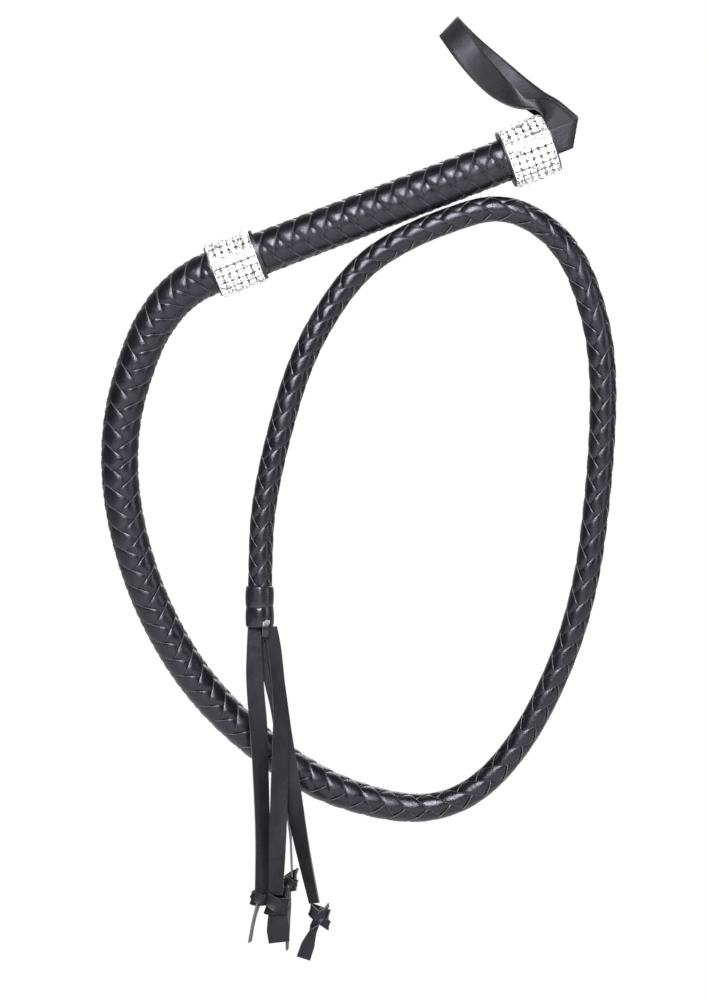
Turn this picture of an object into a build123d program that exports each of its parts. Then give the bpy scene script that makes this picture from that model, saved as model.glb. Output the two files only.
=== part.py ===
from build123d import *
import math
import os

# A plaited whip held up by its handle, with two stone-set collars, a wrist strap,
# a tapering thong that hangs in one big loop, and a tassel of four knotted strips.
# Millimetres, +Z up.  The origin is on the handle's axis, in the middle of the grip.
# The handle climbs towards +X, and the loop hangs close to the plane Y = 0.

# ---- handle -----------------------------------------------------------------------------
HANDLE_SLOPE = 21.0  # degrees above the horizontal, rising to the butt
HANDLE_DIAMETER = 28.4  # over the plaited cover
HANDLE_PLAIT_WALL = 3.0  # two strands lie over each other everywhere
HEEL_END = -171.0  # along the axis from the origin: the outer face of the heel collar
STIFF_END = -160.0  # along the axis: where the rod stops and the thong's core begins
BUTT_END = 65.0  # along the axis: the outer face of the butt cap
BUTT_CAP_THICKNESS = 2.5

# ---- collars ----------------------------------------------------------------------------
HEEL_COLLAR_LENGTH = 33.0
BUTT_COLLAR_LENGTH = 32.0
HEEL_SLEEVE_WALL = 1.9
BUTT_SLEEVE_WALL = 4.0  # padded out, so that the butt is a knob
SLEEVE_RIM = 2.4  # how far the heel sleeve shows beyond its band on the handle side
SLEEVE_LIP = 0.9  # how far each sleeve shows beyond its band elsewhere
SLEEVE_RIM_RISE = 0.5
BAND_WALL = 0.6
STONE_SIZE = 4.45  # across the flats of one square stone
STONE_TABLE = 2.5
STONE_HEIGHT = 1.5
STONE_GAP = 0.4
STONE_GIRDLE = 0.5

# ---- thong ------------------------------------------------------------------------------
THONG_PLAIT_WALL = 2.4
BEND_SHARE = 0.45  # an arc takes this share of the shorter run beside its corner
FIRST_THONG_RUN = 18.0
# each row: the route's point and the diameter over the plait there
THONG_ROUTE = [
    (-178.8, 0.0, -72.3, 27.4),
    (-189.3, 0.5, -83.7, 26.8),
    (-204.0, 2.0, -107.5, 25.8),
    (-221.5, 4.0, -160.0, 24.8),
    (-219.5, 6.0, -218.0, 24.4),
    (-198.0, 9.0, -283.0, 24.0),
    (-160.0, 11.0, -341.0, 23.6),
    (-100.0, 12.0, -390.0, 22.4),
    (-45.0, 12.0, -409.5, 19.6),
    (-8.0, 11.0, -409.0, 17.6),
    (23.0, 10.0, -389.0, 17.0),
    (53.0, 9.0, -346.0, 16.8),
    (80.0, 7.0, -277.0, 16.8),
    (92.0, 5.0, -192.0, 17.4),
    (94.0, 3.0, -117.0, 18.0),
    (80.0, 2.0, -66.0, 17.8),
    (66.0, 1.0, -42.0, 17.2),
    (53.0, 0.4, -29.0, 16.9),
    (38.0, 0.0, -21.3, 16.8),
    (21.5, 0.0, -19.3, 16.8),
    (4.0, 0.0, -23.7, 16.8),
    (-32.0, 0.0, -37.2, 16.8),
]
TAIL_PIVOT = (-49.0, 0.0, -48.1)
TAIL_ROUTE = [
    (-60.8, -0.2, -55.7, 16.6),
    (-82.0, -3.0, -80.0, 16.4),
    (-103.0, -6.5, -120.0, 16.4),
    (-119.5, -9.5, -174.5, 16.2),
    (-127.5, -10.0, -214.0, 16.0),
    (-129.0, -10.0, -243.0, 15.8),
    (-129.0, -10.0, -291.0, 15.6),
]
TAIL_START_DIAMETER = 16.8
JOINT_GAP = 0.3  # left between pieces that move past each other

# ---- tip binding ------------------------------------------------------------------------
BINDING_LENGTH = 26.0
BINDING_WALL = 1.4
BINDING_GROOVE = 0.5
BINDING_END_SIZE = (4.0, 1.2, 7.0)
BINDING_END_OFFSET = (4.5, -7.4)  # from the thong's centre, in X and Y

# ---- tassel -----------------------------------------------------------------------------
STRIP_WIDTH = 11.5
STRIP_THICKNESS = 1.2
STRIP_LAYER = 3.0  # the strips hang one behind another at this spacing
FRONT_LAYER = 4.6  # the front strip's place before the thong's centre
SLIM_SHIFT = 6.2  # how far back the slim strip's edge-on part hangs, clear of the others
KNOT_ROUNDING = 2.2
TAIL_STUB_SHARE = 0.8  # a knot's loose tail is pulled narrower than its strip
SLIM = (0.0, 1.0, 0.0)  # width direction of a strip that shows its edge
FLAT = (1.0, 0.0, 0.0)  # width direction of a strip that shows its face

# ---- wrist strap ------------------------------------------------------------------------
STRAP_WIDTH = 17.5
STRAP_THICKNESS = 1.5
STRAP_DEPTH = 20.0  # how far its two ends run into the butt
STRAP_FOLD_LOW = 8.3  # the fold's lower end beyond the butt face
STRAP_FOLD_HIGH = 18.7  # and its upper end
STRAP_BUTT_GAP = 1.75  # the butt face and the edge of a strap that hangs along it are this far apart
STRAP_SLOT_GAP = 0.1
STRAP_CLEAR = 0.1  # kept between the strap's two legs, and between them and the tab's faces
TAB_DIAMETER = 18.4  # the round tab that joins the two legs over the fold
# each row: a point of the strap's middle line from the point that the strap turns about,
# then the direction of its width there
STRAP_STATIONS = [
    ((0.01, 2.65, 0.04), (0.93, 0.0, 0.36)),
    ((-4.59, 2.65, 11.94), (0.93, 0.0, 0.36)),
    ((-9.99, 0.0, 16.54), (0.68, 0.64, 0.34)),
    ((-14.49, -1.5, 18.54), (0.25, 0.94, 0.22)),
    ((-23.49, -5.0, 19.94), (0.1, 0.95, 0.28)),
    ((-34.89, -11.5, 23.34), (0.36, 0.72, 0.6)),
    ((-46.09, -17.5, 29.94), (0.55, 0.4, 0.73)),
    ((-56.29, -22.0, 39.94), (0.66, 0.12, 0.74)),
    ((-65.49, -23.5, 50.94), (0.75, 0.0, 0.66)),
    ((-72.49, -18.5, 61.94), (0.74, 0.0, 0.67)),
    ((-76.49, -7.0, 69.94), (0.69, 0.0, 0.72)),
    ((-75.99, 6.0, 72.44), (0.68, 0.0, 0.73)),
    ((-70.49, 17.5, 68.44), (0.68, 0.0, 0.73)),
    ((-59.99, 23.5, 59.44), (0.67, -0.08, 0.74)),
    ((-45.49, 24.5, 47.44), (0.64, -0.1, 0.76)),
    ((-31.49, 21.0, 34.94), (0.68, 0.1, 0.72)),
    ((-18.99, 15.5, 24.44), (0.76, 0.3, 0.58)),
    ((-7.89, 9.6, 15.54), (0.8, 0.5, 0.34)),
    ((-2.89, 4.25, 8.74), (0.93, 0.0, 0.36)),
    ((0.01, 4.25, 0.04), (0.93, 0.0, 0.36)),
]

os.makedirs("parts", exist_ok=True)


def write(shape, node):
    export_step(shape, f"parts/{node}.step")


# ---- the handle's own frame: local Z runs along the axis towards the butt -----------------
SLOPE = math.radians(HANDLE_SLOPE)
HANDLE_AXIS = Vector(math.cos(SLOPE), 0, math.sin(SLOPE))
HANDLE_FRAME = Plane(origin=(0, 0, 0), x_dir=(-math.sin(SLOPE), 0, math.cos(SLOPE)), z_dir=HANDLE_AXIS)


def on_axis(distance):
    """The point of the handle's axis at this distance from the origin."""
    return HANDLE_AXIS * distance


def rod(diameter, start, end):
    """A round rod on the handle's axis, from one distance to another."""
    blank = Cylinder(diameter / 2, end - start, align=(Align.CENTER, Align.CENTER, Align.MIN))
    return HANDLE_FRAME * (Pos(0, 0, start) * blank)


def ring(inner, outer, start, end):
    return rod(outer, start, end) - rod(inner, start, end)


# ---- round cords: straight tapering runs joined by tangent arcs ---------------------------
def corner_arc(before, corner, after):
    """Where the arc at a corner starts and ends, its centre, radius, axis and turn in degrees."""
    way_in = (corner - before).normalized()
    way_out = (after - corner).normalized()
    turn = way_in.get_angle(way_out)
    cut = BEND_SHARE * min((corner - before).length, (after - corner).length)
    radius = cut / math.tan(math.radians(turn / 2))
    start = corner - way_in * cut
    inward = (way_out - way_in * math.cos(math.radians(turn))).normalized()
    return start, corner + way_out * cut, start + inward * radius, radius, way_in.cross(inward), turn


def cord(points, diameters, name=""):
    """A closed tube along the points: a cone frustum on each run, a torus piece on each arc.
    It prints the arcs' radii, and its volume beside its section times its length."""
    tube = Part()
    place = points[0]
    width = diameters[0]
    radii = []
    expected = 0.0
    for i in range(1, len(points)):
        last = i == len(points) - 1
        if last:
            end = points[i]
        else:
            end, leave, centre, radius, axis, turn = corner_arc(points[i - 1], points[i], points[i + 1])
        run = end - place
        frame = Plane(origin=place, z_dir=run.normalized())
        if abs(width - diameters[i]) < 1e-6:
            piece = Solid.make_cylinder(width / 2, run.length, frame)
        else:
            piece = Solid.make_cone(width / 2, diameters[i] / 2, run.length, frame)
        tube += piece
        mean_square = (width**2 + width * diameters[i] + diameters[i] ** 2) / 3
        expected += math.pi / 4 * mean_square * run.length
        if not last:
            disc = Plane(origin=end, z_dir=run.normalized()) * Circle(diameters[i] / 2)
            tube += revolve(disc, Axis(centre, axis), turn)
            expected += math.pi / 4 * diameters[i] ** 2 * radius * math.radians(turn)
            radii.append(round(radius))
            place = leave
            width = diameters[i]
    if name:
        print(f"{name}: arc radii {radii} mm, volume {tube.volume:.0f}, section x length {expected:.0f} mm3")
    return tube


def less_wall(diameters, wall):
    return [d - 2 * wall for d in diameters]


# ---- flat strips: rings of four corners, joined by triangles ------------------------------
def ribbon(stations, width, thickness):
    """A flat strip through stations of (point, width direction), as one solid of flat faces."""
    points = [Vector(*p) for p, _ in stations]
    rings = []
    for i, (_, across) in enumerate(stations):
        ahead = points[min(i + 1, len(points) - 1)]
        behind = points[max(i - 1, 0)]
        along = (ahead - behind).normalized()
        across = Vector(*across)
        across = (across - along * across.dot(along)).normalized() * (width / 2)
        up = along.cross(across).normalized() * (thickness / 2)
        mid = points[i]
        rings.append([mid - across - up, mid + across - up, mid + across + up, mid - across + up])
    faces = [Face(Wire.make_polygon(rings[0])), Face(Wire.make_polygon(rings[-1]))]
    for low, high in zip(rings, rings[1:]):
        # both broad faces are split along the same diagonal, so that a twist keeps its thickness
        for a, b in ((0, 1), (1, 2), (3, 2), (0, 3)):
            faces.append(Face(Wire.make_polygon([low[a], low[b], high[b]])))
            faces.append(Face(Wire.make_polygon([low[a], high[b], high[a]])))
    return Solid(Shell(faces))


# ---- handle -----------------------------------------------------------------------------
core_diameter = HANDLE_DIAMETER - 2 * HANDLE_PLAIT_WALL
core_end = BUTT_END - BUTT_CAP_THICKNESS
strap_stack = 2 * STRAP_THICKNESS
slot_start = BUTT_END - STRAP_DEPTH


def strap_slot(start, end):
    """The flat slot that the strap's two stacked ends fill, lying in the handle's own XZ plane."""
    height = STRAP_WIDTH + 2 * STRAP_SLOT_GAP
    blank = Box(height, strap_stack, end - start, align=(Align.CENTER, Align.CENTER, Align.MIN))
    return HANDLE_FRAME * (Pos(0, 0, start) * blank)


slot = strap_slot(slot_start, BUTT_END)
write(rod(core_diameter, STIFF_END, core_end) - slot, "handle_core")
write(ring(core_diameter, HANDLE_DIAMETER, STIFF_END, core_end), "handle_braid")
write(rod(HANDLE_DIAMETER, core_end, BUTT_END) - slot, "butt_cap")


# ---- collars: a leather sleeve, a metallised band, and square stones on the band ----------
def stone():
    """One stone lying on local Z: a square girdle, a crown of eight slopes and a flat table."""
    girdle = Box(STONE_SIZE, STONE_SIZE, STONE_GIRDLE, align=(Align.CENTER, Align.CENTER, Align.MIN))
    crown_base = Pos(0, 0, STONE_GIRDLE) * Rectangle(STONE_SIZE, STONE_SIZE)
    table = Pos(0, 0, STONE_HEIGHT) * Rectangle(STONE_TABLE, STONE_TABLE)
    return girdle + loft([crown_base, table], ruled=True)


def collar(name, start, length, wall, low_lip, high_lip):
    """Sleeve, band and stones of one collar; the lips are the sleeve's bare ends."""
    sleeve_diameter = HANDLE_DIAMETER + 2 * wall
    band_diameter = sleeve_diameter + 2 * BAND_WALL
    band_start = start + low_lip
    band_end = start + length - high_lip
    sleeve = ring(HANDLE_DIAMETER, sleeve_diameter, start, start + length)
    rim_diameter = sleeve_diameter + 2 * SLEEVE_RIM_RISE
    sleeve += ring(sleeve_diameter, rim_diameter, start, band_start)
    sleeve += ring(sleeve_diameter, rim_diameter, band_end, start + length)
    write(sleeve, f"{name}_sleeve")
    write(ring(sleeve_diameter, band_diameter, band_start, band_end), f"{name}_band")

    pitch = STONE_SIZE + STONE_GAP
    columns = int((band_end - band_start + STONE_GAP) // pitch)
    rows = int(math.pi * band_diameter // pitch)
    middle = (band_start + band_end) / 2
    model = stone()
    stones = []
    for column in range(columns):
        along = middle + (column - (columns - 1) / 2) * pitch
        for row in range(rows):
            around = Rot(0, 0, row * 360 / rows)
            place = Pos(0, 0, along) * around * Pos(band_diameter / 2, 0, 0) * Rot(0, 90, 0)
            stones.append((Location(HANDLE_FRAME) * place) * model)
    write(Compound([s.solid() for s in stones]), f"{name}_stones")
    print(f"{name}: {columns} columns of {rows} stones, {band_diameter + 2 * STONE_HEIGHT:.1f} mm across")


collar("heel_collar", HEEL_END, HEEL_COLLAR_LENGTH, HEEL_SLEEVE_WALL, SLEEVE_LIP, SLEEVE_RIM)
collar(
    "butt_collar",
    BUTT_END - BUTT_COLLAR_LENGTH,
    BUTT_COLLAR_LENGTH,
    BUTT_SLEEVE_WALL,
    SLEEVE_LIP,
    SLEEVE_LIP,
)

# ---- thong: the loop, from inside the heel collar to where it leaves the hand ---------------
pivot = Vector(*TAIL_PIVOT)
loop_points = [on_axis(STIFF_END), on_axis(STIFF_END - FIRST_THONG_RUN)]
loop_points += [Vector(x, y, z) for x, y, z, _ in THONG_ROUTE]
loop_diameters = [HANDLE_DIAMETER, HANDLE_DIAMETER] + [row[3] for row in THONG_ROUTE]

# the plait stops half a radius before the pivot, and is hollowed for the tail's round end
last_way = (pivot - loop_points[-1]).normalized()
loop_points.append(pivot - last_way * (TAIL_START_DIAMETER / 4))
loop_diameters.append(TAIL_START_DIAMETER)
socket_radius = TAIL_START_DIAMETER / 2 + JOINT_GAP
socket = Pos(*TAIL_PIVOT) * Sphere(socket_radius)
# the core stops flat, behind that hollow
core_stop = Solid.make_cylinder(socket_radius, socket_radius, Plane(origin=pivot, z_dir=-last_way))
loop_outside = cord(loop_points, loop_diameters, "thong_braid")
loop_inside = cord(loop_points, less_wall(loop_diameters, THONG_PLAIT_WALL), "thong_core") - core_stop
write(loop_outside - loop_inside - socket, "thong_braid")
write(loop_inside, "thong_core")

# ---- tail: the free end of the thong, with a round end in that hollow -----------------------
tail_points = [pivot] + [Vector(x, y, z) for x, y, z, _ in TAIL_ROUTE]
tail_diameters = [TAIL_START_DIAMETER] + [row[3] for row in TAIL_ROUTE]
tail_outside = cord(tail_points, tail_diameters, "tail_braid")
tail_inside = cord(tail_points, less_wall(tail_diameters, THONG_PLAIT_WALL), "tail_core")
tail_outside += Pos(*TAIL_PIVOT) * Sphere(TAIL_START_DIAMETER / 2)
write(tail_outside - tail_inside, "tail_braid")
write(tail_inside, "tail_core")

# ---- tip binding: one strip wound round twice, with its tucked end showing below -----------
tip = tail_points[-1]
tip_diameter = tail_diameters[-1]
wrap_radius = tip_diameter / 2 + BINDING_WALL
half_binding = BINDING_LENGTH / 2
wraps = Part()
for wrap in range(2):
    low = tip + Vector(0, 0, wrap * half_binding)
    barrel_height = half_binding - 2 * BINDING_GROOVE
    barrel = Solid.make_cylinder(wrap_radius, barrel_height, Plane(low + Vector(0, 0, BINDING_GROOVE)))
    lower_edge = Solid.make_cone(wrap_radius - BINDING_GROOVE, wrap_radius, BINDING_GROOVE, Plane(low))
    upper_edge = Solid.make_cone(
        wrap_radius,
        wrap_radius - BINDING_GROOVE,
        BINDING_GROOVE,
        Plane(low + Vector(0, 0, half_binding - BINDING_GROOVE)),
    )
    wraps += barrel
    wraps += lower_edge
    wraps += upper_edge
end_x, end_y = BINDING_END_OFFSET
end_blank = Box(*BINDING_END_SIZE, align=(Align.CENTER, Align.CENTER, Align.MAX))
binding_end = Pos(tip.X + end_x, tip.Y + end_y, tip.Z + BINDING_GROOVE) * end_blank
write(wraps + binding_end - tail_outside, "tip_binding")


# ---- tassel: four strips hanging in layers, each ending in a knot with a short loose tail ---
def hanging_strip(name, layer, start_x, rows, knot_size, tail_steps, tail_across):
    """One strip with its knot: rows of (X, Z, shift in Y, width direction) below its round top."""
    layer_y = tip.Y - FRONT_LAYER + layer * STRIP_LAYER
    top = (start_x, layer_y, tip.Z - JOINT_GAP - STRIP_WIDTH / 2)
    stations = [(top, FLAT)]
    stations += [((x, layer_y + shift, z), across) for x, z, shift, across in rows]
    # the top is rounded about the point that the strip swings on
    strip = Pos(*top) * Cylinder(STRIP_WIDTH / 2, STRIP_THICKNESS, rotation=(90, 0, 0))
    strip += ribbon(stations, STRIP_WIDTH, STRIP_THICKNESS)
    write(strip, f"strip_{name}")

    # the knot's flat top lies against the strip's end, square to its last run
    foot = Vector(*stations[-1][0])
    up = (Vector(*stations[-2][0]) - foot).normalized()
    knot_frame = Plane(origin=foot, x_dir=Vector(0, 1, 0).cross(up), z_dir=up)
    knot = Box(*knot_size, align=(Align.CENTER, Align.CENTER, Align.MAX))
    knot = knot_frame * fillet(knot.edges().filter_by(Axis.Z), KNOT_ROUNDING)
    loose = [(tuple(foot + Vector(*step)), tail_across) for step in tail_steps]
    knot += ribbon(loose, STRIP_WIDTH * TAIL_STUB_SHARE, STRIP_THICKNESS)
    write(knot, f"knot_{name}")


hanging_strip(
    "middle",
    0,
    -125.5,
    [(-120.0, -328, 0, FLAT), (-116.5, -378, 0, FLAT), (-116.5, -424, 0, FLAT), (-117.5, -462, 0, FLAT)],
    (12.0, 6.6, 15.0),
    [(0.8, 0, -12.0), (3.5, 0, -31.0)],
    FLAT,
)
hanging_strip(
    "left",
    1,
    -132.0,
    [(-131.6, -337, 0, FLAT), (-129.6, -390, 0, FLAT), (-129.4, -430, 0, FLAT), (-130.4, -462, 0, FLAT)],
    (10.4, 6.6, 10.5),
    [(-0.5, 0, -8.0), (-7.0, 0, -32.0)],
    (0.25, 0.97, 0.0),
)
hanging_strip(
    "right",
    2,
    -122.5,
    [(-114.5, -337, 0, FLAT), (-106.5, -385, 0, FLAT), (-98.5, -430, 0, FLAT), (-91.0, -466, 0, FLAT)],
    (13.0, 8.0, 12.5),
    [(2.5, 0, -10.0), (-9.0, 0, -39.0)],
    FLAT,
)
hanging_strip(
    "slim",
    3,
    -127.5,
    [
        (-121.0, -330, 0, FLAT),
        (-113.5, -378, 0, FLAT),
        (-110.0, -404, SLIM_SHIFT / 3, FLAT),
        (-108.4, -427, SLIM_SHIFT, SLIM),
        (-107.6, -451, SLIM_SHIFT, SLIM),
    ],
    (6.5, 8.5, 9.5),
    [(-0.5, 0, -7.5), (-3.0, 0, -41.0)],
    SLIM,
)

# ---- wrist strap: its stacked ends in the butt, and the loop that swings on the fold --------
half_strap = STRAP_WIDTH / 2
fold_plate = Plane(HANDLE_FRAME.origin, x_dir=HANDLE_AXIS, z_dir=(0, -1, 0)) * make_face(
    Polyline(
        (slot_start, -half_strap),
        (BUTT_END + STRAP_FOLD_LOW, -half_strap),
        (BUTT_END + STRAP_FOLD_HIGH, half_strap),
        (slot_start, half_strap),
        close=True,
    )
)
write(extrude(fold_plate, strap_stack / 2, both=True), "strap_root")

tab_thickness = 2 * STRAP_THICKNESS + 3 * STRAP_CLEAR
turning_tab = Cylinder(TAB_DIAMETER / 2, tab_thickness, rotation=(90, 0, 0))
tab_y = strap_stack / 2 + JOINT_GAP + tab_thickness / 2
strap_pivot = on_axis(BUTT_END + STRAP_WIDTH / 2 + STRAP_BUTT_GAP)
loop_strap = Pos(*(strap_pivot + Vector(0, tab_y, 0))) * turning_tab
loop_stations = [(tuple(strap_pivot + Vector(*point)), across) for point, across in STRAP_STATIONS]
loop_strap += ribbon(loop_stations, STRAP_WIDTH, STRAP_THICKNESS)
write(loop_strap, "wrist_loop")
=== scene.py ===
import math

import bpy
import numpy as np
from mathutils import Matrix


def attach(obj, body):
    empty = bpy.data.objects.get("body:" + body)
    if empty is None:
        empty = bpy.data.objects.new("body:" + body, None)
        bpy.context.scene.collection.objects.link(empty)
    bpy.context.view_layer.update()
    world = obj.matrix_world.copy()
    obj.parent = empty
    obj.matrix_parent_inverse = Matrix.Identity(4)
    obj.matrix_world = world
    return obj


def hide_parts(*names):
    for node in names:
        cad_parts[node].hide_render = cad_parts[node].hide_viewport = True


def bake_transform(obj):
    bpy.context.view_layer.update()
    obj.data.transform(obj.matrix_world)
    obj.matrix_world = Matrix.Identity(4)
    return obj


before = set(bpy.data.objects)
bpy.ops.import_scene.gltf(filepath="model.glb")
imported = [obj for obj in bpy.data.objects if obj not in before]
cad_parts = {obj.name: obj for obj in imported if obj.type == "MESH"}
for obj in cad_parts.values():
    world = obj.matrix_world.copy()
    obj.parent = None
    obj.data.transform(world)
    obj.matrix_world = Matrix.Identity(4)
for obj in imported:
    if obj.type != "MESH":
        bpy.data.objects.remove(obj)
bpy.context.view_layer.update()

# ---- Camera --------------------------------------------------------------------------------
# A long lens, level with the middle of the whip and square to the hanging loop.
lens_distance = 1.9
view_height = 0.65
camera = bpy.data.objects.new("camera", bpy.data.cameras.new("camera"))
camera.location = (-0.06825, -lens_distance, -0.2093)
camera.rotation_euler = (math.radians(90), 0, 0)
camera.data.sensor_width = 36.0
camera.data.lens = 36.0 * lens_distance / view_height
camera.data.clip_end = 100.0
bpy.context.scene.collection.objects.link(camera)
bpy.context.scene.camera = camera

# ---- Thong, from the heel collar round the loop --------------------------------------------
# Eight flat strips of black faux leather plaited over two and under two round a soft filler.
# The strips keep their width, so the chevrons grow longer as the thong tapers.
handle_slope = math.radians(21)
heel_way = np.array([math.cos(handle_slope), 0, math.sin(handle_slope)])
thong_exit = heel_way * -0.160
free_end_pivot = (-0.0490, 0.0, -0.0481)
thong_route = np.array([
    thong_exit,
    heel_way * -0.178,
    (-0.1788, 0.0, -0.0723),
    (-0.1899, 0.0005, -0.0830),
    (-0.2051, 0.002, -0.1067),
    (-0.2211, 0.004, -0.160),
    (-0.2193, 0.006, -0.218),
    (-0.1989, 0.009, -0.2838),
    (-0.1613, 0.011, -0.3426),
    (-0.1008, 0.012, -0.3916),
    (-0.0450, 0.012, -0.4109),
    (-0.0076, 0.011, -0.4103),
    (0.0242, 0.010, -0.3906),
    (0.0549, 0.009, -0.3473),
    (0.0823, 0.007, -0.2779),
    (0.0933, 0.005, -0.192),
    (0.0956, 0.003, -0.1158),
    (0.0820, 0.002, -0.0643),
    (0.0671, 0.001, -0.0408),
    (0.0530, 0.0004, -0.029),
    (0.0380, 0.0, -0.0213),
    (0.0215, 0.0, -0.0193),
    (0.0040, 0.0, -0.0237),
    (-0.0320, 0.0, -0.0372),
    free_end_pivot,
])
thong_diameters = np.array([
    28.4, 28.4, 27.4, 26.8, 25.8, 24.8, 24.4, 24.0, 23.6, 22.4, 19.6, 17.6, 17.0,
    16.8, 16.8, 17.4, 18.0, 17.8, 17.2, 16.9, 16.8, 16.8, 16.8, 16.8, 16.8,
]) / 1000
# how far apart the chevrons lie at each of those points
thong_chevrons = np.array([
    10.6, 10.8, 10.9, 11.5, 12.3, 13.0, 13.0, 12.6, 12.3, 12.6, 13.6, 15.0, 15.2,
    15.2, 15.0, 14.8, 14.8, 14.8, 14.8, 14.6, 14.4, 14.2, 13.8, 13.2, 13.0,
]) / 1000
# how far the plait has twisted about its own middle line at each point, in degrees
thong_twist = np.array([
    0, 0, -2, -4, -8, -10, -10, -6, 0, 8, 18, 26, 34,
    44, 60, 72, 72, 66, 60, 56, 50, 44, 40, 34, 30,
])
# the plait is worked out at points this far apart
plait_step = 0.00092


def route_line(name, route):
    """The middle line of a cord: an order-3 NURBS curve with the route's points as its
    control points, read back as the points of a mesh."""
    curve = bpy.data.curves.new(name, "CURVE")
    curve.dimensions = "3D"
    curve.resolution_u = 32
    spline = curve.splines.new("NURBS")
    spline.points.add(len(route) - 1)
    spline.points.foreach_set("co", np.column_stack([route, np.ones(len(route))]).ravel())
    spline.order_u = 3
    spline.use_endpoint_u = True
    mesh = bpy.data.meshes.new_from_object(bpy.data.objects.new(name, curve))
    line = np.empty(len(mesh.vertices) * 3)
    mesh.vertices.foreach_get("co", line)
    return line.reshape(-1, 3)


def lengths_along(line):
    """The distance walked from the line's start to each of its points."""
    return np.concatenate([[0], np.cumsum(np.linalg.norm(np.diff(line, axis=0), axis=1))])


def carried(line, route, values, at):
    """Values given at the route's points, carried to these distances along the line: each
    belongs where the line passes nearest to its point."""
    nearest = np.linalg.norm(line[None] - route[:, None], axis=2).argmin(axis=1)
    return np.interp(at, lengths_along(line)[nearest], values)


def walked(line, step):
    """Even steps along a line: the distances, the points, and at each point the way ahead, the
    direction that faces the front, and the direction square to both."""
    along = lengths_along(line)
    at = np.linspace(0, along[-1], int(math.ceil(along[-1] / step)) + 1)
    points = np.column_stack([np.interp(at, along, line[:, k]) for k in range(3)])
    ahead = np.gradient(points, axis=0)
    ahead /= np.linalg.norm(ahead, axis=1)[:, None]
    front = np.array([0, -1.0, 0]) - ahead * -ahead[:, 1:2]
    front /= np.linalg.norm(front, axis=1)[:, None]
    return at, points, ahead, front, np.cross(ahead, front)


def new_piece(name, points, faces, material, smooth_degrees=50):
    """An object from an array of points and an array of faces, shaded smooth, with edges
    sharper than the angle left sharp."""
    mesh = bpy.data.meshes.new(name)
    mesh.from_pydata(points.tolist(), [], [f.tolist() for f in faces])
    mesh.shade_smooth()
    mesh.set_sharp_from_angle(angle=math.radians(smooth_degrees))
    mesh.materials.append(material)
    piece = bpy.data.objects.new(name, mesh)
    bpy.context.scene.collection.objects.link(piece)
    return piece


def corner_values(piece, name, values):
    """Stores a pair of numbers for each point as a UV map, so that a material can read them."""
    layer = piece.data.uv_layers.new(name=name)
    corners = np.empty(len(piece.data.loops), np.int32)
    piece.data.loops.foreach_get("vertex_index", corners)
    layer.data.foreach_set("uv", values[corners].astype(np.float32).ravel())


def tube_faces(rings, around, first=0):
    """Faces of a closed tube of rings, each ring a closed loop of this many points, with a
    flat face over each end."""
    ring, spot = np.meshgrid(np.arange(rings - 1), np.arange(around), indexing="ij")
    a = first + ring * around + spot
    b = first + ring * around + (spot + 1) % around
    sides = np.stack([a, b, b + around, a + around], axis=2).reshape(-1, 4)
    low = first + np.arange(around)[::-1]
    high = first + (rings - 1) * around + np.arange(around)
    return [*sides, low, high]


# one strip's cross-section: across from edge to edge, and down from its crown, as shares of
# its half width and of its thickness; the third column says where across the strip a point is
strip_section = np.array([
    (-1.00, -0.80, -1.30),
    (-1.00, -0.24, -1.00),
    (-0.90, -0.10, -0.90),
    (-0.50, -0.02, -0.50),
    (0.00, 0.00, 0.00),
    (0.50, -0.02, 0.50),
    (0.90, -0.10, 0.90),
    (1.00, -0.24, 1.00),
    (1.00, -0.80, 1.30),
    (0.00, -1.00, 1.50),
])
strip_thickness = 0.0013
strip_lift = 0.00095
strip_fill = 0.96
strips_each_way = 4
# how steeply a strip climbs over the next, and how late in its turn
climb_steepness = 3.8
climb_delay = 0.12
filler_sides = 16
filler_every = 4
# the first number of a mark counts centimetres along a strip
marks_in_metre = 100


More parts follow.
